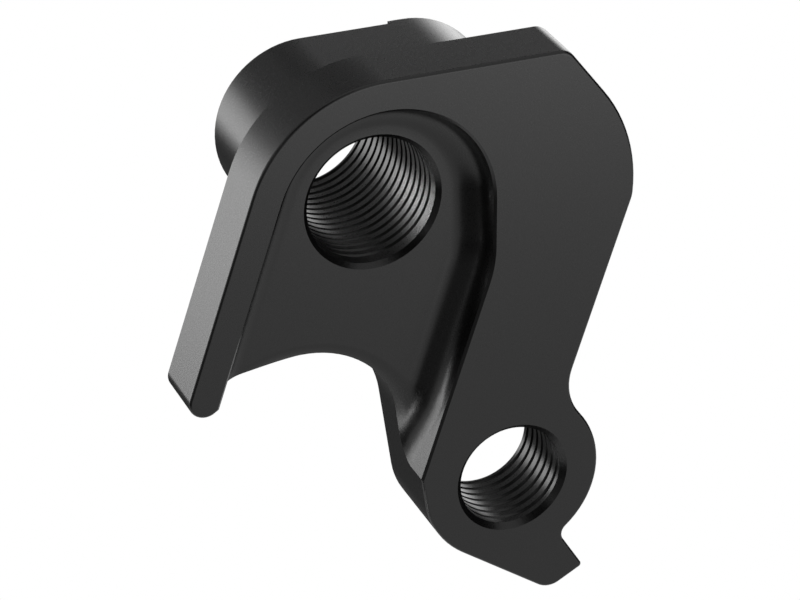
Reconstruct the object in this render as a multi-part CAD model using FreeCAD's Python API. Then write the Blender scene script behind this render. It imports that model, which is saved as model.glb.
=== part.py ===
"""Derailleur hanger for a through-axle frame, machined from one block of aluminium.

Millimetres. +X points to the rear of the bicycle, +Z up, and +Y outboard, away from
the wheel. It is drawn with Y = 0 in the front face, the one that looks at the wheel,
and moved at the end: the finished part's origin is on the axle bore's axis, in the
plane of the plate's back, which seats on the frame.
"""
import FreeCAD, Part
import math
import os

# Driving dimensions

# Thread cores: an M12 x 1 axle and an M10 x 1 derailleur bolt
axle_core_r = 5.459
axle_mouth = 0.4
axle_back_mouth = 0.1
bolt_core_r = 4.459
bolt_mouth = 0.47
bolt_back_mouth = 0.1

# The plate that lies on the frame, and the thicker arm below it
plate_thick = 5.3
arm_thick = 7.8
arm_step_over_eye = 1.3
arm_step_fillet = 1.2
head_r = 11.8

# The leg on the front side of the plate
leg_angle = 161.55
leg_width = 2.7
leg_stand = 1.1

# The plate's rear side
corner_r = 1.5
shoulder_x = 7.81
shoulder_z = -0.57
shoulder_r = 13.5
shoulder_angle = 37.7
rear_set_in = 0.32
rear_soften_r = 2.5
neck_r = 4.7

# The eye for the derailleur bolt, and the stop tab beside it
eye_x = 11.0
eye_z = -26.0
eye_r = 7.7
tab_side_angle = 31.95
tab_side_shift = 0.29
tab_inner_r = 1.0
tab_tip_r = 0.3
tab_end_angle = -61.4
tab_length = 12.0
tab_heel_r = 1.8
tab_heel_angle = -124.7

# The arm's front side and the crotch between it and the leg
arm_lower_angle = -148.2
arm_round_r = 7.0
arm_side_angle = 188.42
arm_side_out = 0.075
arch_r = 8.4
arch_top_z = -12.53
arch_slope_angle = 96.5
leg_arch_r = 8.0

# The hub's seat, a pocket in the front face that is open at the bottom
pocket_depth = 3.1
pocket_cove_r = 2.6
pocket_bend_r = 10.0
pocket_widening = 1.4

# The lead-in at the pocket's open end
lead_width = 2.84
lead_shift_x = -0.42
lead_shift_z = -1.84
lead_round_r = 2.5
lead_slope = 36.0

# The boss that fills the frame's slot and carries the axle's thread
boss_r = 7.55
boss_span = 9.25
boss_depth = 19.3
pad_start_x = 7.95
pad_rise = 0.83

# Edge breaks
edge_r = 0.25
rim_break = 0.2
boss_edge_r = 0.4
pad_edge_r = 0.35

# Follow-on dimensions

leg_tip_r = leg_width / 2.0
pocket_r = head_r - leg_width
pocket_rear = pocket_r + pocket_widening
rear_angle = leg_angle - 180.0
arm_step_z = eye_z + eye_r + arm_step_over_eye
axle_mouth_r = axle_core_r + axle_mouth
axle_back_r = axle_core_r + axle_back_mouth
bolt_mouth_r = bolt_core_r + bolt_mouth
bolt_back_r = bolt_core_r + bolt_back_mouth
lead_r = arch_r + lead_width
BIG = 10.0 * head_r


def unit(angle):
    """The direction at this angle, in the plane of the front face."""
    turn = math.radians(angle)
    return (math.cos(turn), math.sin(turn))


def along(angle, point):
    """How far a point lies from the origin in the direction of this angle."""
    direction = unit(angle)
    return direction[0] * point[0] + direction[1] * point[1]


def crossing(angle_a, reach_a, angle_b, reach_b):
    """The point that lies at one reach along each of two directions."""
    a = unit(angle_a)
    b = unit(angle_b)
    det = a[0] * b[1] - a[1] * b[0]
    x = (reach_a * b[1] - reach_b * a[1]) / det
    z = (a[0] * reach_b - b[0] * reach_a) / det
    return (x, z)


def beside(angle, reach, centre, distance, way):
    """The point at this reach and this distance from a centre, on the side that way gives."""
    normal = unit(angle)
    run = unit(angle + 90.0)
    step = reach - along(angle, centre)
    slide = way * math.sqrt(distance ** 2 - step ** 2)
    x = centre[0] + step * normal[0] + slide * run[0]
    z = centre[1] + step * normal[1] + slide * run[1]
    return (x, z)


def bearing(start, end):
    """The angle of the direction from one point to another."""
    return math.degrees(math.atan2(end[1] - start[1], end[0] - start[0]))


def spot(centre, radius, angle, y=0.0):
    """A point on a circle, as a vector."""
    direction = unit(angle)
    x = centre[0] + radius * direction[0]
    z = centre[1] + radius * direction[1]
    return FreeCAD.Vector(x, y, z)


def ring(arcs):
    """A closed face from arcs (centre, radius, start, end) joined by straight lines."""
    edges = []
    count = len(arcs)
    for i in range(count):
        centre, radius, start, end = arcs[i]
        first = spot(centre, radius, start)
        middle = spot(centre, radius, (start + end) / 2.0)
        last = spot(centre, radius, end)
        edges.append(Part.Arc(first, middle, last).toShape())
        ahead = arcs[(i + 1) % count]
        following = spot(ahead[0], ahead[1], ahead[2])
        if last.distanceToPoint(following) > 1e-6:
            edges.append(Part.makeLine(last, following))
    return Part.Face(Part.Wire(edges))


def drill(centre, radius, start_y, end_y):
    """A round cutter along Y."""
    base = FreeCAD.Vector(centre[0], start_y, centre[1])
    return Part.makeCylinder(radius, end_y - start_y, base, FreeCAD.Vector(0, 1, 0))


def mouth(centre, core, opening, face_y, way):
    """A 45 degree countersink that opens at face_y; way is +1 for a face that looks to -Y."""
    depth = opening - core
    base = FreeCAD.Vector(centre[0], face_y - way * depth, centre[1])
    return Part.makeCone(opening + depth, core, 2.0 * depth, base, FreeCAD.Vector(0, way, 0))


def block(x0, x1, y0, y1, z0, z1):
    """A plain box between two corners."""
    corner = FreeCAD.Vector(x0, y0, z0)
    return Part.makeBox(x1 - x0, y1 - y0, z1 - z0, corner)


# The outline seen from the front, clockwise from the leg's tip

axle = (0.0, 0.0)
eye = (eye_x, eye_z)
shoulder = (shoulder_x, shoulder_z)

shoulder_reach = along(shoulder_angle, shoulder) + shoulder_r
corner = crossing(90.0, head_r - corner_r, shoulder_angle, shoulder_reach - corner_r)

rear_offset = along(rear_angle, shoulder) + shoulder_r - rear_set_in
soften_reach = rear_offset - rear_soften_r
soften = beside(rear_angle, soften_reach, shoulder, shoulder_r - rear_soften_r, 1)
soften_turn = bearing(shoulder, soften)

neck = beside(rear_angle, rear_offset + neck_r, eye, eye_r + neck_r, 1)
neck_turn = bearing(neck, eye) + 360.0

tab_side_reach = along(tab_side_angle, eye) + tab_side_shift
tab_end_reach = along(tab_end_angle, eye) + tab_length
tab_inner = beside(tab_side_angle, tab_side_reach + tab_inner_r, eye, eye_r + tab_inner_r, -1)
tab_turn = bearing(eye, tab_inner)
tip_reach = tab_side_reach - tab_tip_r
tab_tip = crossing(tab_side_angle, tip_reach, tab_end_angle, tab_end_reach - tab_tip_r)
heel_reach = along(tab_heel_angle, eye) + eye_r
end_reach = tab_end_reach - tab_heel_r
tab_heel = crossing(tab_end_angle, end_reach, tab_heel_angle, heel_reach - tab_heel_r)

lower_reach = along(arm_lower_angle, eye) + eye_r
side_reach = along(arm_side_angle, eye) + eye_r + arm_side_out
round_in_reach = side_reach - arm_round_r
arm_round = crossing(arm_lower_angle, lower_reach - arm_round_r, arm_side_angle, round_in_reach)

arch_z = arch_top_z - arch_r
arch = crossing(arm_side_angle, side_reach + arch_r, 90.0, arch_z)
slope_reach = along(arch_slope_angle, arch) + arch_r
leg_mid = head_r - leg_tip_r
leg_tip_reach = slope_reach - leg_stand + leg_tip_r
leg_tip = crossing(leg_angle, leg_mid, arch_slope_angle, leg_tip_reach)
leg_arch_gap = leg_arch_r + leg_tip_r
leg_arch = beside(arch_slope_angle, slope_reach - leg_arch_r, leg_tip, leg_arch_gap, -1)
leg_arch_turn = bearing(leg_arch, leg_tip)

outline = ring([
    (leg_tip, leg_tip_r, leg_arch_turn - 180.0, leg_angle - 360.0),
    (axle, head_r, leg_angle, 90.0),
    (corner, corner_r, 90.0, shoulder_angle),
    (shoulder, shoulder_r, shoulder_angle, soften_turn),
    (soften, rear_soften_r, soften_turn, rear_angle),
    (neck, neck_r, leg_angle, neck_turn),
    (eye, eye_r, neck_turn - 180.0, tab_turn),
    (tab_inner, tab_inner_r, tab_turn + 180.0, tab_side_angle + 180.0),
    (tab_tip, tab_tip_r, tab_side_angle, tab_end_angle),
    (tab_heel, tab_heel_r, tab_end_angle, tab_heel_angle),
    (eye, eye_r, tab_heel_angle, arm_lower_angle),
    (arm_round, arm_round_r, arm_lower_angle, arm_side_angle - 360.0),
    (arch, arch_r, arm_side_angle - 180.0, arch_slope_angle),
    (leg_arch, leg_arch_r, arch_slope_angle, leg_arch_turn),
])

# The body: plate and arm from one outline, with the step between them on the back

body = outline.extrude(FreeCAD.Vector(0, arm_thick, 0))
recess = block(-BIG, BIG, plate_thick, BIG, arm_step_z, BIG)
root = []
for edge in recess.Edges:
    middle = edge.CenterOfMass
    if abs(middle.y - plate_thick) < 1e-6 and abs(middle.z - arm_step_z) < 1e-6:
        root.append(edge)
recess = recess.makeFillet(arm_step_fillet, root)
body = body.cut(recess)

# The round of the front edge, all the way around the outline

front = []
for edge in body.Edges:
    box = edge.BoundBox
    if box.YMax < 1e-6:
        front.append(edge)
body = body.makeFillet(edge_r, front)

# The pocket: its cutter has the cove on its bottom edge and the lead-in on its floor

bend_x = pocket_r - pocket_bend_r
bend = crossing(0.0, bend_x, rear_angle, pocket_rear - pocket_bend_r)
pocket_run = along(leg_angle + 90.0, eye) + 2.0 * eye_r


def pocket_wire(grow, y):
    """The pocket's plan at this depth, with its walls moved outwards."""
    left_foot = crossing(leg_angle, pocket_r + grow, leg_angle + 90.0, pocket_run)
    right_foot = crossing(rear_angle, pocket_rear + grow, leg_angle + 90.0, pocket_run)
    left_end = FreeCAD.Vector(left_foot[0], y, left_foot[1])
    right_end = FreeCAD.Vector(right_foot[0], y, right_foot[1])
    head = pocket_r + grow
    head_start = spot(axle, head, leg_angle, y)
    head_middle = spot(axle, head, leg_angle / 2.0, y)
    head_end = spot(axle, head, 0.0, y)
    turn = pocket_bend_r + grow
    bend_start = spot(bend, turn, 0.0, y)
    bend_middle = spot(bend, turn, rear_angle / 2.0, y)
    bend_end = spot(bend, turn, rear_angle, y)
    return Part.Wire([
        Part.makeLine(left_end, head_start),
        Part.Arc(head_start, head_middle, head_end).toShape(),
        Part.makeLine(head_end, bend_start),
        Part.Arc(bend_start, bend_middle, bend_end).toShape(),
        Part.makeLine(bend_end, right_end),
        Part.makeLine(right_end, left_end),
    ])


slope = math.radians(lead_slope)
round_in = lead_round_r * math.sin(slope)
round_down = lead_round_r * (1.0 - math.cos(slope))
half_in = lead_round_r * math.sin(slope / 2.0)
half_down = lead_round_r * (1.0 - math.cos(slope / 2.0))
slope_end_r = lead_r / 2.0
slope_fall = (lead_r - round_in - slope_end_r) * math.tan(slope)
slope_end_y = pocket_depth + round_down + slope_fall

lead_x = arch[0] + lead_shift_x
lead_z = arch[1] + lead_shift_z
lead_top = FreeCAD.Vector(lead_x + lead_r, pocket_depth, lead_z)
lead_half = FreeCAD.Vector(lead_x + lead_r - half_in, pocket_depth + half_down, lead_z)
lead_low = FreeCAD.Vector(lead_x + lead_r - round_in, pocket_depth + round_down, lead_z)
lead_end = FreeCAD.Vector(lead_x + slope_end_r, slope_end_y, lead_z)
lead_axis_low = FreeCAD.Vector(lead_x, slope_end_y, lead_z)
lead_axis_top = FreeCAD.Vector(lead_x, -1.0, lead_z)
lead_rim = FreeCAD.Vector(lead_x + lead_r, -1.0, lead_z)
lead_wire = Part.Wire([
    Part.Arc(lead_top, lead_half, lead_low).toShape(),
    Part.makeLine(lead_low, lead_end),
    Part.makeLine(lead_end, lead_axis_low),
    Part.makeLine(lead_axis_low, lead_axis_top),
    Part.makeLine(lead_axis_top, lead_rim),
    Part.makeLine(lead_rim, lead_top),
])
lead_base = FreeCAD.Vector(lead_x, 0, lead_z)
lead_tool = Part.Face(lead_wire).revolve(lead_base, FreeCAD.Vector(0, 1, 0), 360)

floor_tool = block(-BIG, BIG, -1.0, pocket_depth, -BIG, BIG)
pocket = Part.Face(pocket_wire(0.0, -1.0)).extrude(FreeCAD.Vector(0, BIG, 0))
pocket = pocket.common(floor_tool.fuse(lead_tool)).removeSplitter()


def on_wall(point):
    """Whether a point lies on the pocket's side wall, seen from the front."""
    flat = (point.x, point.z)
    if abs(along(leg_angle, flat) - pocket_r) < 1e-3:
        return True
    if abs(along(rear_angle, flat) - pocket_rear) < 1e-3:
        return True
    if abs(math.hypot(point.x, point.z) - pocket_r) < 1e-3 and point.z > -1e-3:
        return True
    if abs(point.x - pocket_r) < 1e-3 and point.z < 1e-3:
        return True
    return abs(math.hypot(point.x - bend[0], point.z - bend[1]) - pocket_bend_r) < 1e-3


foot = []
for edge in pocket.Edges:
    points = edge.discretize(5)
    walled = [on_wall(p) for p in points]
    deep = [p.y > pocket_depth - 1e-6 for p in points]
    if all(walled) and all(deep) and edge.Length > 1e-3:
        foot.append(edge)
pocket = pocket.makeFillet(pocket_cove_r, foot)
body = body.cut(pocket)

rim_out = pocket_wire(1.0, rim_break - 1.0)
rim_in = pocket_wire(0.0, rim_break)
body = body.cut(Part.makeLoft([rim_out, rim_in], True, True))

# The boss on the back, with its raised pad, and the breaks on its edges

boss_plan = ring([
    (axle, boss_r, -90.0, -270.0),
    ((boss_span, 0.0), boss_r, 90.0, -90.0),
])
pad_depth = boss_depth + pad_rise
boss = boss_plan.extrude(FreeCAD.Vector(0, pad_depth, 0))
ends = []
for edge in boss.Edges:
    if edge.BoundBox.YMin > pad_depth - 1e-6:
        ends.append(edge)
boss = boss.makeFillet(boss_edge_r, ends)
step_x = pad_start_x + pad_edge_r
step_y = pad_depth - pad_edge_r
shave = block(-BIG, step_x, step_y, BIG, -BIG, BIG)
shave = shave.cut(Part.makeCylinder(pad_edge_r, 2 * BIG, FreeCAD.Vector(step_x, step_y, -BIG)))
lower = block(-BIG, pad_start_x, boss_depth, BIG, -BIG, BIG)
boss = boss.cut(shave).cut(lower)
boss = boss.cut(block(-BIG, BIG, -BIG, pocket_depth + 1.0, -BIG, BIG))
body = body.fuse(boss)

# The two bores, countersunk at the front and only broken at the back

bore_length = boss_depth + pad_rise + 2.0
body = body.cut(drill(axle, axle_core_r, -1.0, bore_length))
body = body.cut(mouth(axle, axle_core_r, axle_mouth_r, pocket_depth, 1))
body = body.cut(mouth(axle, axle_core_r, axle_back_r, boss_depth, -1))
body = body.cut(drill(eye, bolt_core_r, -1.0, arm_thick + 1.0))
body = body.cut(mouth(eye, bolt_core_r, bolt_mouth_r, 0.0, 1))
body = body.cut(mouth(eye, bolt_core_r, bolt_back_r, arm_thick, -1))

hanger = body.removeSplitter()
if hanger.ShapeType == "Compound" and len(hanger.Solids) == 1:
    hanger = hanger.Solids[0]
hanger.translate(FreeCAD.Vector(0, -plate_thick, 0))

os.makedirs("parts", exist_ok=True)
hanger.exportStep("parts/derailleur_hanger.step")
print("solids", len(hanger.Solids), "valid", hanger.isValid())
print("volume", round(hanger.Volume, 1), "box", hanger.BoundBox)
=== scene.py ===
"""Studio picture of a bicycle derailleur hanger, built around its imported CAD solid."""

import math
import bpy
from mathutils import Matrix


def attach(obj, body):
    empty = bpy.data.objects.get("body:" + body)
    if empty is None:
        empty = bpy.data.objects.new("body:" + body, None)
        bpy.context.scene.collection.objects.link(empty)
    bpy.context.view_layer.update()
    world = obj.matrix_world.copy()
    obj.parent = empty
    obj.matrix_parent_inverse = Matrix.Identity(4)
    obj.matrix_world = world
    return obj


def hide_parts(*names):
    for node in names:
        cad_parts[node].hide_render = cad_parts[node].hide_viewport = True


bl_info = {
    "name": "Derailleur hanger",
    "version": (1, 0, 0),
    "blender": (4, 5, 0),
    "location": "View3D > Sidebar > Hanger",
    "description": "Taps, finishes and lights a black anodised derailleur hanger",
    "category": "Object",
}

import bpy
from bpy.props import FloatProperty, FloatVectorProperty, IntProperty, PointerProperty
from bpy.types import Operator, Panel, PropertyGroup
from mathutils import Euler, Vector

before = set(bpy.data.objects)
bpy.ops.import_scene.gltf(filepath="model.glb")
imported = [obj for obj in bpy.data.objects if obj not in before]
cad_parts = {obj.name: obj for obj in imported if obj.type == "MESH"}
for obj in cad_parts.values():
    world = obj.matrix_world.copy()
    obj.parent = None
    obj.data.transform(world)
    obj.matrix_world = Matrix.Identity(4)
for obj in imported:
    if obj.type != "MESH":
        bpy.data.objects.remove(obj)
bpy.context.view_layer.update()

MM = 0.001
NODE = "derailleur_hanger"

# Half of the thread groove's section, in mm: depth under the bore's wall, half width.
# Its edges are rounded over, as the tumbling and the anodising leave them.
GROOVE = [(-0.04, 0.25), (0.0, 0.21), (0.05, 0.16), (0.12, 0.1), (0.28, 0.02)]

# What a reamer takes off a bore's wall, how long it is, and where its middle lies on Y.
REAMED = 0.004 * MM
REAMER_LENGTH = 40.0 * MM
REAMER_Y = 4.0 * MM

# Points of a mesh closer than this, in metres, are one point.
MERGED = 1e-7

# Edges between faces that turn less than this look smooth.
SMOOTH_ANGLE = math.radians(20.0)

# The photograph's width in pixels. Its frame lies half a pixel off the lens's axis.
FRAME_WIDTH = 800.0

# The floor's side, in metres.
FLOOR_SIZE = 8.0

WHITE = (1.0, 1.0, 1.0, 1.0)
ORIGIN = (0.0, 0.0, 0.0)

# What the two small lamps are aimed at: the lead-in, and the front of the axle bore.
LEAD_IN = (2.8 * MM, -1.5 * MM, -21.2 * MM)
BORE_FRONT = (4.9 * MM, -1.5 * MM, -1.8 * MM)


# Small helpers


def linear(code):
    """An sRGB hex colour as the linear red, green, blue and alpha that nodes take."""
    channels = []
    for i in (0, 2, 4):
        value = int(code[i:i + 2], 16) / 255.0
        if value <= 0.04045:
            channels.append(value / 12.92)
        else:
            channels.append(((value + 0.055) / 1.055) ** 2.4)
    return (channels[0], channels[1], channels[2], 1.0)


def add_node(tree, kind, settings=None, inputs=None):
    """Adds a node, sets its properties, and sets or links its inputs."""
    node = tree.nodes.new(kind)
    for name, value in (settings or {}).items():
        setattr(node, name, value)
    for name, value in (inputs or {}).items():
        if isinstance(value, bpy.types.NodeSocket):
            tree.links.new(value, node.inputs[name])
        else:
            node.inputs[name].default_value = value
    return node


def select_only(piece):
    """Leaves one object selected and active."""
    bpy.ops.object.select_all(action="DESELECT")
    piece.select_set(True)
    bpy.context.view_layer.objects.active = piece


def apply_modifier(piece, kind, **settings):
    """Adds a modifier with its settings and applies it."""
    select_only(piece)
    bpy.ops.object.modifier_add(type=kind)
    modifier = piece.modifiers[-1]
    for name, value in settings.items():
        setattr(modifier, name, value)
    bpy.ops.object.modifier_apply(modifier=modifier.name)


def the_hanger():
    """The visual hanger, which the first operator makes."""
    piece = bpy.data.objects.get("hanger")
    if piece is None:
        raise RuntimeError("make the hanger's blank first")
    return piece


# What a user would change


class ThreadSizes(PropertyGroup):
    axle_x: FloatProperty(
        name="Axle thread X", description="Where the axle thread's axis lies along X",
        default=0.0, unit="LENGTH", subtype="DISTANCE", precision=5)
    axle_z: FloatProperty(
        name="Axle thread Z", description="Where the axle thread's axis lies along Z",
        default=0.0, unit="LENGTH", subtype="DISTANCE", precision=5)
    axle_core_r: FloatProperty(
        name="Axle core radius", description="Radius of the plain bore that is tapped",
        default=5.459 * MM, unit="LENGTH", subtype="DISTANCE", precision=5)
    axle_from: FloatProperty(
        name="Axle thread start", description="Where the first groove starts along Y",
        default=-1.10 * MM, unit="LENGTH", subtype="DISTANCE", precision=5)
    axle_turns: IntProperty(
        name="Axle thread turns", description="Turns of the groove, past the far mouth",
        default=17, min=1)
    axle_start: FloatProperty(
        name="Axle thread angle", description="Where the first groove starts around the bore",
        default=math.radians(150.0), unit="ROTATION", subtype="ANGLE")
    bolt_x: FloatProperty(
        name="Bolt thread X", description="Where the bolt thread's axis lies along X",
        default=11.0 * MM, unit="LENGTH", subtype="DISTANCE", precision=5)
    bolt_z: FloatProperty(
        name="Bolt thread Z", description="Where the bolt thread's axis lies along Z",
        default=-26.0 * MM, unit="LENGTH", subtype="DISTANCE", precision=5)
    bolt_core_r: FloatProperty(
        name="Bolt core radius", description="Radius of the plain hole that is tapped",
        default=4.459 * MM, unit="LENGTH", subtype="DISTANCE", precision=5)
    bolt_from: FloatProperty(
        name="Bolt thread start", description="Where the first groove starts along Y",
        default=-4.57 * MM, unit="LENGTH", subtype="DISTANCE", precision=5)
    bolt_turns: IntProperty(
        name="Bolt thread turns", description="Turns of the groove, past the far mouth",
        default=8, min=1)
    bolt_start: FloatProperty(
        name="Bolt thread angle", description="Where the first groove starts around the hole",
        default=math.radians(100.0), unit="ROTATION", subtype="ANGLE")
    pitch: FloatProperty(
        name="Pitch", description="Distance from one turn to the next, on both threads",
        default=1.0 * MM, unit="LENGTH", subtype="DISTANCE", precision=5)
    steps: IntProperty(
        name="Steps", description="Straight facets in one turn of a groove",
        default=96, min=24)
    run_in: IntProperty(
        name="Run-in", description="Facets over which a groove reaches its full depth",
        default=16, min=1)


class FinishLook(PropertyGroup):
    tone: FloatVectorProperty(
        name="Anodised colour", description="Colour of the dyed oxide",
        subtype="COLOR", size=4, default=linear("070707"), min=0.0, max=1.0)
    tone_light: FloatVectorProperty(
        name="Thinner dye", description="Colour where the dye took a little less",
        subtype="COLOR", size=4, default=linear("0a0a0a"), min=0.0, max=1.0)
    roughness: FloatProperty(
        name="Roughness", description="How far the satin surface spreads a reflection",
        default=0.29, min=0.0, max=1.0, subtype="FACTOR")
    ior: FloatProperty(
        name="IOR", description="Refractive index of the sealed oxide",
        default=1.4, min=1.0, max=3.0)
    grain: FloatProperty(
        name="Grain size", description="Width of the fine tumbled grain",
        default=0.12 * MM, unit="LENGTH", subtype="DISTANCE", precision=5)


class StudioSetup(PropertyGroup):
    camera_at: FloatVectorProperty(
        name="Camera", description="Where the camera stands",
        subtype="TRANSLATION", unit="LENGTH", default=(-0.0913323, -0.2339606, 0.1232147),
        precision=5)
    camera_turn: FloatVectorProperty(
        name="Camera turn", description="How the camera is turned",
        subtype="EULER", unit="ROTATION",
        default=(math.radians(62.08588), math.radians(0.11566), math.radians(-22.05866)))
    lens: FloatProperty(
        name="Lens", description="Focal length on a 36 mm wide sensor, in millimetres",
        default=158.5, min=1.0, unit="CAMERA")
    floor_z: FloatProperty(
        name="Floor", description="Height of the floor under the hanger",
        default=-0.45, unit="LENGTH", subtype="DISTANCE")
    floor_tone: FloatVectorProperty(
        name="Floor colour", description="Colour of the floor and of what stands around",
        subtype="COLOR", size=4, default=linear("e8e8e8"), min=0.0, max=1.0)
    fill: FloatProperty(
        name="Fill", description="Strength of the even light from all around",
        default=0.35, min=0.0)


# The hanger


class HANGER_OT_make_blank(Operator):
    """Takes the milled blank from the CAD node, as a mesh of its own"""

    bl_idname = "hanger.make_blank"
    bl_label = "Make the blank"

    def execute(self, context):
        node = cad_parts[NODE]
        blank = bpy.data.objects.new("hanger", node.data.copy())
        context.scene.collection.objects.link(blank)
        blank.matrix_world = node.matrix_world.copy()
        blank.data.materials.clear()
        select_only(blank)
        bpy.ops.object.mode_set(mode="EDIT")
        bpy.ops.mesh.select_all(action="SELECT")
        bpy.ops.mesh.remove_doubles(threshold=MERGED)
        bpy.ops.mesh.customdata_custom_splitnormals_clear()
        bpy.ops.object.mode_set(mode="OBJECT")
        return {"FINISHED"}


def volume(piece):
    """A closed mesh's volume, below zero when the mesh is inside out."""
    mesh = piece.data
    mesh.calc_loop_triangles()
    total = 0.0
    for triangle in mesh.loop_triangles:
        a, b, c = [mesh.vertices[i].co for i in triangle.vertices]
        total += a.dot(b.cross(c)) / 6.0
    return total


def cut(hanger, cutters):
    """Takes the cutters' shape away from the hanger, and the cutters out of the scene.

    They are joined first, because a cut into a thread that is already there can fail.
    """
    cutter = cutters[0]
    select_only(cutter)
    for other in cutters[1:]:
        other.select_set(True)
    bpy.ops.object.join()
    before = volume(hanger)
    apply_modifier(hanger, "BOOLEAN", operation="DIFFERENCE", solver="EXACT", object=cutter)
    taken = before - volume(hanger)
    if not 0.0 < taken < volume(cutter):
        raise RuntimeError("%s didn't cut as it should" % cutter.name)
    bpy.data.objects.remove(cutter, do_unlink=True)


def lay_along_y(piece, place, y, start_angle):
    """Lays an upright piece along Y, on a bore's axis, and applies its place."""
    piece.rotation_euler = Euler((math.radians(-90.0), -start_angle, 0.0))
    piece.location = (place[0], y, place[1])
    bpy.ops.object.transform_apply(location=True, rotation=True, scale=True)


def reamer(name, place, core_r, start_angle, sizes):
    """A finely faceted rod along Y that rounds out a bore's wall before it is tapped.

    Two of its facets make one of a groove's, so that they meet without a ripple.
    """
    bpy.ops.object.select_all(action="DESELECT")
    bpy.ops.mesh.primitive_cylinder_add(
        vertices=2 * sizes.steps, radius=core_r + REAMED, depth=REAMER_LENGTH)
    rod = bpy.context.active_object
    rod.name = name
    lay_along_y(rod, place, REAMER_Y, start_angle)
    return rod


def thread_cutter(name, place, core_r, start_y, start_angle, turns, sizes):
    """A right-hand helical bar along Y with the groove's section.

    It starts inside the bore, and reaches the groove's full depth over its run-in.
    """
    half = [(core_r + depth * MM, width * MM) for depth, width in GROOVE]
    section = half + [(radius, -width) for radius, width in reversed(half)]
    bpy.ops.object.select_all(action="DESELECT")
    bpy.ops.mesh.primitive_circle_add(vertices=len(section), fill_type="NOTHING")
    cutter = bpy.context.active_object
    cutter.name = name
    for vertex, corner in zip(cutter.data.vertices, section):
        vertex.co = (corner[0], 0.0, corner[1])
    apply_modifier(
        cutter, "SCREW", axis="Z", angle=2.0 * math.pi, screw_offset=sizes.pitch,
        iterations=turns, steps=sizes.steps, render_steps=sizes.steps,
        use_merge_vertices=False, use_smooth_shade=False)
    full_depth = GROOVE[-1][0]
    for vertex in cutter.data.vertices[:sizes.run_in * len(section)]:
        lift = 1.0 - (vertex.index // len(section)) / sizes.run_in
        radius = math.hypot(vertex.co.x, vertex.co.y)
        vertex.co.xy *= 1.0 - lift * full_depth * MM / radius
    bpy.ops.object.mode_set(mode="EDIT")
    bpy.ops.mesh.select_all(action="SELECT")
    bpy.ops.mesh.fill_holes(sides=0)
    bpy.ops.mesh.normals_make_consistent(inside=False)
    bpy.ops.object.mode_set(mode="OBJECT")
    lay_along_y(cutter, place, start_y, start_angle)
    return cutter


class HANGER_OT_tap_threads(Operator):
    """Cuts the axle's and the derailleur bolt's threads into the bores"""

    bl_idname = "hanger.tap_threads"
    bl_label = "Tap the threads"

    def execute(self, context):
        hanger = the_hanger()
        sizes = context.scene.hanger_threads
        axle = (sizes.axle_x, sizes.axle_z)
        bolt = (sizes.bolt_x, sizes.bolt_z)
        cut(hanger, [
            reamer("axle_reamer", axle, sizes.axle_core_r, sizes.axle_start, sizes),
            reamer("bolt_reamer", bolt, sizes.bolt_core_r, sizes.bolt_start, sizes)])
        cut(hanger, [
            thread_cutter(
                "axle_tap", axle, sizes.axle_core_r,
                sizes.axle_from, sizes.axle_start, sizes.axle_turns, sizes),
            thread_cutter(
                "bolt_tap", bolt, sizes.bolt_core_r,
                sizes.bolt_from, sizes.bolt_start, sizes.bolt_turns, sizes)])
        return {"FINISHED"}


def black_anodised_aluminium(look):
    """Aluminium alloy, milled, tumbled and then anodised black.

    The dyed oxide is nearly black, and its tumbled surface gives a satin sheen: wide,
    soft reflections that grow strong where the surface is seen edge on.
    """
    cloud = 9.0 * MM
    uneven = 0.03
    pit = 0.01 * MM
    material = bpy.data.materials.new("black_anodised_aluminium")
    material.use_nodes = True
    tree = material.node_tree
    tree.nodes.clear()
    place = add_node(tree, "ShaderNodeTexCoord")
    dye = add_node(tree, "ShaderNodeTexNoise", {}, {
        "Vector": place.outputs["Object"], "Scale": 1.0 / cloud, "Detail": 2.0})
    shade = add_node(tree, "ShaderNodeMix", {"data_type": "RGBA"}, {
        "Factor": dye.outputs["Fac"], "A": look.tone, "B": look.tone_light})
    grain = add_node(tree, "ShaderNodeTexNoise", {}, {
        "Vector": place.outputs["Object"], "Scale": 1.0 / look.grain, "Detail": 3.0,
        "Roughness": 0.6})
    sheen = add_node(tree, "ShaderNodeMapRange", {}, {
        "Value": grain.outputs["Fac"], "From Min": 0.3, "From Max": 0.7,
        "To Min": look.roughness - uneven, "To Max": look.roughness + uneven})
    pits = add_node(tree, "ShaderNodeBump", {}, {
        "Height": grain.outputs["Fac"], "Strength": 0.08, "Distance": pit})
    surface = add_node(tree, "ShaderNodeBsdfPrincipled", {}, {
        "Base Color": shade.outputs["Result"], "Roughness": sheen.outputs["Result"],
        "Normal": pits.outputs["Normal"], "Metallic": 0.0, "IOR": look.ior})
    add_node(tree, "ShaderNodeOutputMaterial", {}, {"Surface": surface.outputs["BSDF"]})
    return material


class HANGER_OT_finish(Operator):
    """Smooths the shading, gives the hanger its finish and puts it in the node's place"""

    bl_idname = "hanger.finish"
    bl_label = "Finish the hanger"

    def execute(self, context):
        hanger = the_hanger()
        select_only(hanger)
        bpy.ops.object.mode_set(mode="EDIT")
        bpy.ops.mesh.select_all(action="SELECT")
        bpy.ops.mesh.remove_doubles(threshold=MERGED)
        bpy.ops.mesh.dissolve_degenerate(threshold=MERGED)
        bpy.ops.object.mode_set(mode="OBJECT")
        bpy.ops.object.shade_smooth_by_angle(angle=SMOOTH_ANGLE)
        apply_modifier(hanger, "WEIGHTED_NORMAL", keep_sharp=True, weight=80)
        hanger.data.materials.clear()
        hanger.data.materials.append(black_anodised_aluminium(context.scene.hanger_finish))
        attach(hanger, "root")
        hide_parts(NODE)
        return {"FINISHED"}


# The studio


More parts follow.
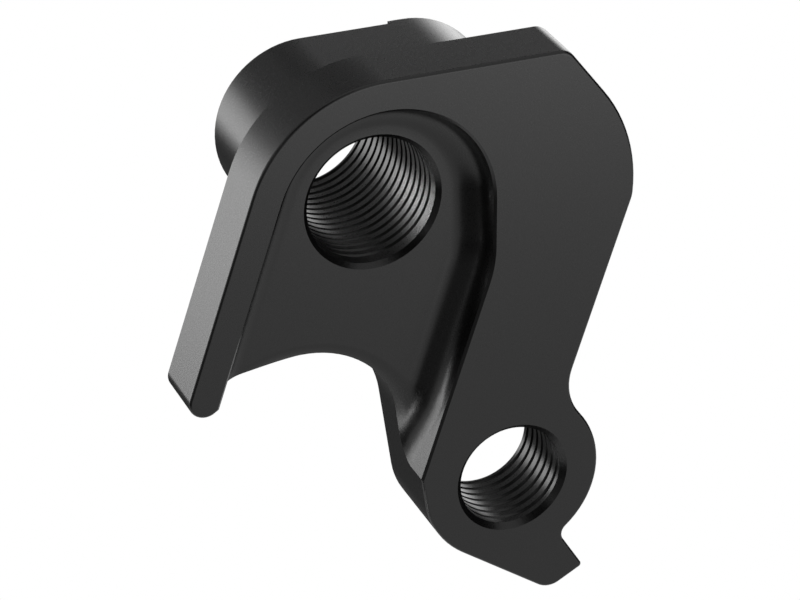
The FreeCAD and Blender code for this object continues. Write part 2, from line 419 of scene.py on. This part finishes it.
def unlit_white(tree, shader):
    """Mixes a shader with white for the camera and for reflections of the background."""
    path = add_node(tree, "ShaderNodeLightPath")
    mirrored = add_node(tree, "ShaderNodeMath", {"operation": "MAXIMUM"}, {
        0: path.outputs["Is Camera Ray"], 1: path.outputs["Is Glossy Ray"]})
    seen = add_node(tree, "ShaderNodeMath", {"operation": "MAXIMUM"}, {
        0: mirrored.outputs[0], 1: path.outputs["Is Transmission Ray"]})
    white = add_node(tree, "ShaderNodeEmission", {}, {"Color": WHITE, "Strength": 1.0})
    return add_node(tree, "ShaderNodeMixShader", {}, {
        0: seen.outputs[0], 1: shader, 2: white.outputs[0]})


def face_hanger(piece, azimuth, elevation, distance, aim):
    """Puts a lamp or a flag where it is seen from the aim, and turns it to face that.

    Azimuth 0 is straight outboard, along +Y, and grows towards +X; both are degrees.
    """
    turn = math.radians(azimuth)
    tilt = math.radians(elevation)
    flat = math.cos(tilt)
    way = Vector((flat * math.sin(turn), flat * math.cos(turn), math.sin(tilt)))
    piece.location = Vector(aim) + distance * way
    piece.rotation_euler = way.to_track_quat("Z", "Y").to_euler()


def softbox(name, azimuth, elevation, distance, width, height, strength,
            aim=ORIGIN, grid=180.0, blockers=None):
    """A rectangular lamp. Its strength is what a mirror would show of it.

    A grid, in degrees, keeps the light together around the point it is aimed at.
    With blockers, only the pieces in that collection cast a shadow in its light.
    """
    lamp = bpy.data.lights.new(name, "AREA")
    lamp.shape = "RECTANGLE"
    lamp.size = width
    lamp.size_y = height
    lamp.spread = math.radians(grid)
    # A narrow spread is brighter along the lamp's axis, so its power comes down by this.
    narrowed = 1.0 - 0.5 * lamp.spread / math.tan(0.5 * lamp.spread)
    lamp.energy = strength * math.pi * width * height * narrowed
    holder = bpy.data.objects.new(name, lamp)
    bpy.context.scene.collection.objects.link(holder)
    face_hanger(holder, azimuth, elevation, distance, aim)
    if blockers is not None:
        lamp.cycles.use_multiple_importance_sampling = False
        holder.light_linking.blocker_collection = blockers


def flag(name, azimuth, elevation, distance, width, height, tone):
    """A grey cloth on a frame. It shows in the metal and the camera doesn't see it."""
    bpy.ops.object.select_all(action="DESELECT")
    bpy.ops.mesh.primitive_plane_add(size=1.0, location=ORIGIN)
    cloth = bpy.context.active_object
    cloth.name = name
    cloth.scale = (width, height, 1.0)
    face_hanger(cloth, azimuth, elevation, distance, ORIGIN)
    bpy.ops.object.transform_apply(location=True, rotation=True, scale=True)
    material = bpy.data.materials.new(name + "_cloth")
    material.use_nodes = True
    tree = material.node_tree
    tree.nodes.clear()
    even = add_node(tree, "ShaderNodeEmission", {}, {"Color": linear(tone), "Strength": 1.0})
    add_node(tree, "ShaderNodeOutputMaterial", {}, {"Surface": even.outputs[0]})
    cloth.data.materials.append(material)
    cloth.visible_camera = False
    cloth.visible_shadow = False


class HANGER_OT_build_studio(Operator):
    """Sets up the camera, the floor, the white background, the flags and the lamps"""

    bl_idname = "hanger.build_studio"
    bl_label = "Build the studio"

    def execute(self, context):
        scene = context.scene
        setup = scene.hanger_studio

        lens = bpy.data.cameras.new("camera")
        lens.sensor_width = 36.0
        lens.lens = setup.lens
        lens.shift_x = -0.5 / FRAME_WIDTH
        lens.shift_y = 0.5 / FRAME_WIDTH
        lens.clip_start = 0.01
        lens.clip_end = 20.0
        camera = bpy.data.objects.new("camera", lens)
        scene.collection.objects.link(camera)
        camera.location = setup.camera_at
        camera.rotation_euler = setup.camera_turn
        scene.camera = camera

        bpy.ops.object.select_all(action="DESELECT")
        bpy.ops.mesh.primitive_plane_add(size=FLOOR_SIZE, location=(0.0, 0.0, setup.floor_z))
        floor = context.active_object
        floor.name = "floor"
        bpy.ops.object.transform_apply(location=True, rotation=True, scale=True)
        paint = bpy.data.materials.new("pale_backdrop_paper")
        paint.use_nodes = True
        tree = paint.node_tree
        tree.nodes.clear()
        paper = add_node(tree, "ShaderNodeBsdfDiffuse", {}, {"Color": setup.floor_tone})
        mixed = unlit_white(tree, paper.outputs[0])
        add_node(tree, "ShaderNodeOutputMaterial", {}, {"Surface": mixed.outputs[0]})
        floor.data.materials.append(paint)

        world = bpy.data.worlds.new("studio")
        scene.world = world
        world.use_nodes = True
        tree = world.node_tree
        tree.nodes.clear()
        even = add_node(tree, "ShaderNodeBackground", {}, {
            "Color": WHITE, "Strength": setup.fill})
        mixed = unlit_white(tree, even.outputs[0])
        add_node(tree, "ShaderNodeOutputWorld", {}, {"Surface": mixed.outputs[0]})

        # Azimuth, elevation, distance, width, height and tone of each flag.
        flag("flag_behind", 0.0, 34.0, 1.3, 3.2, 1.15, "979797")
        flag("flag_low", 0.0, -40.0, 0.6, 1.6, 0.44, "525252")
        flag("flag_right", 92.0, 5.0, 1.2, 1.5, 1.8, "101010")
        flag("flag_camera", -140.0, 45.0, 1.2, 1.4, 0.9, "101010")
        flag("flag_left", -135.0, 0.0, 1.2, 1.6, 0.75, "8c8c8c")
        flag("flag_left_low", -128.0, -27.0, 0.6, 0.8, 0.21, "202020")
        flag("flag_top", 20.0, 26.0, 1.2, 0.9, 0.42, "5e5e5e")

        # Azimuth, elevation, distance, width, height and strength of each lamp.
        # The bore's lamp stands in the far mouth, and the boss casts no shadow in its light.
        softbox("strip_left", -20.0, -3.7, 0.6, 0.367, 0.238, 2.0)
        softbox("strip_side", -55.5, -4.4, 0.6, 0.4, 0.238, 5.0)
        softbox("low_box", -124.0, -41.0, 0.06, 0.013, 0.01, 21.0, aim=LEAD_IN, grid=16.0)
        only_floor = bpy.data.collections.new("only_floor")
        only_floor.objects.link(floor)
        softbox("bore_box", -30.0, -3.0, 0.016, 0.0045, 0.0115, 5.8,
                aim=BORE_FRONT, grid=60.0, blockers=only_floor)
        softbox("strip_right", 30.0, 2.0, 1.0, 1.1, 0.4, 1.85)
        softbox("front_box", 156.0, -10.0, 0.25, 0.14, 0.1, 2.5)
        scene.view_settings.view_transform = "Standard"
        return {"FINISHED"}


class HANGER_PT_sidebar(Panel):
    """Lists the hanger's sizes, finish and studio, and the steps that build it"""

    bl_idname = "HANGER_PT_sidebar"
    bl_label = "Derailleur hanger"
    bl_space_type = "VIEW_3D"
    bl_region_type = "UI"
    bl_category = "Hanger"

    def draw(self, context):
        layout = self.layout
        scene = context.scene
        for group in (scene.hanger_threads, scene.hanger_finish, scene.hanger_studio):
            column = layout.column()
            for name in group.__annotations__:
                column.prop(group, name)
        layout.operator(HANGER_OT_make_blank.bl_idname)
        layout.operator(HANGER_OT_tap_threads.bl_idname)
        layout.operator(HANGER_OT_finish.bl_idname)
        layout.operator(HANGER_OT_build_studio.bl_idname)


CLASSES = (
    ThreadSizes,
    FinishLook,
    StudioSetup,
    HANGER_OT_make_blank,
    HANGER_OT_tap_threads,
    HANGER_OT_finish,
    HANGER_OT_build_studio,
    HANGER_PT_sidebar,
)


def register():
    for cls in CLASSES:
        bpy.utils.register_class(cls)
    bpy.types.Scene.hanger_threads = PointerProperty(type=ThreadSizes)
    bpy.types.Scene.hanger_finish = PointerProperty(type=FinishLook)
    bpy.types.Scene.hanger_studio = PointerProperty(type=StudioSetup)


def unregister():
    del bpy.types.Scene.hanger_studio
    del bpy.types.Scene.hanger_finish
    del bpy.types.Scene.hanger_threads
    for cls in reversed(CLASSES):
        bpy.utils.unregister_class(cls)


def main():
    register()
    bpy.ops.hanger.make_blank()
    bpy.ops.hanger.tap_threads()
    bpy.ops.hanger.finish()
    bpy.ops.hanger.build_studio()


if __name__ == "__main__":
    main()
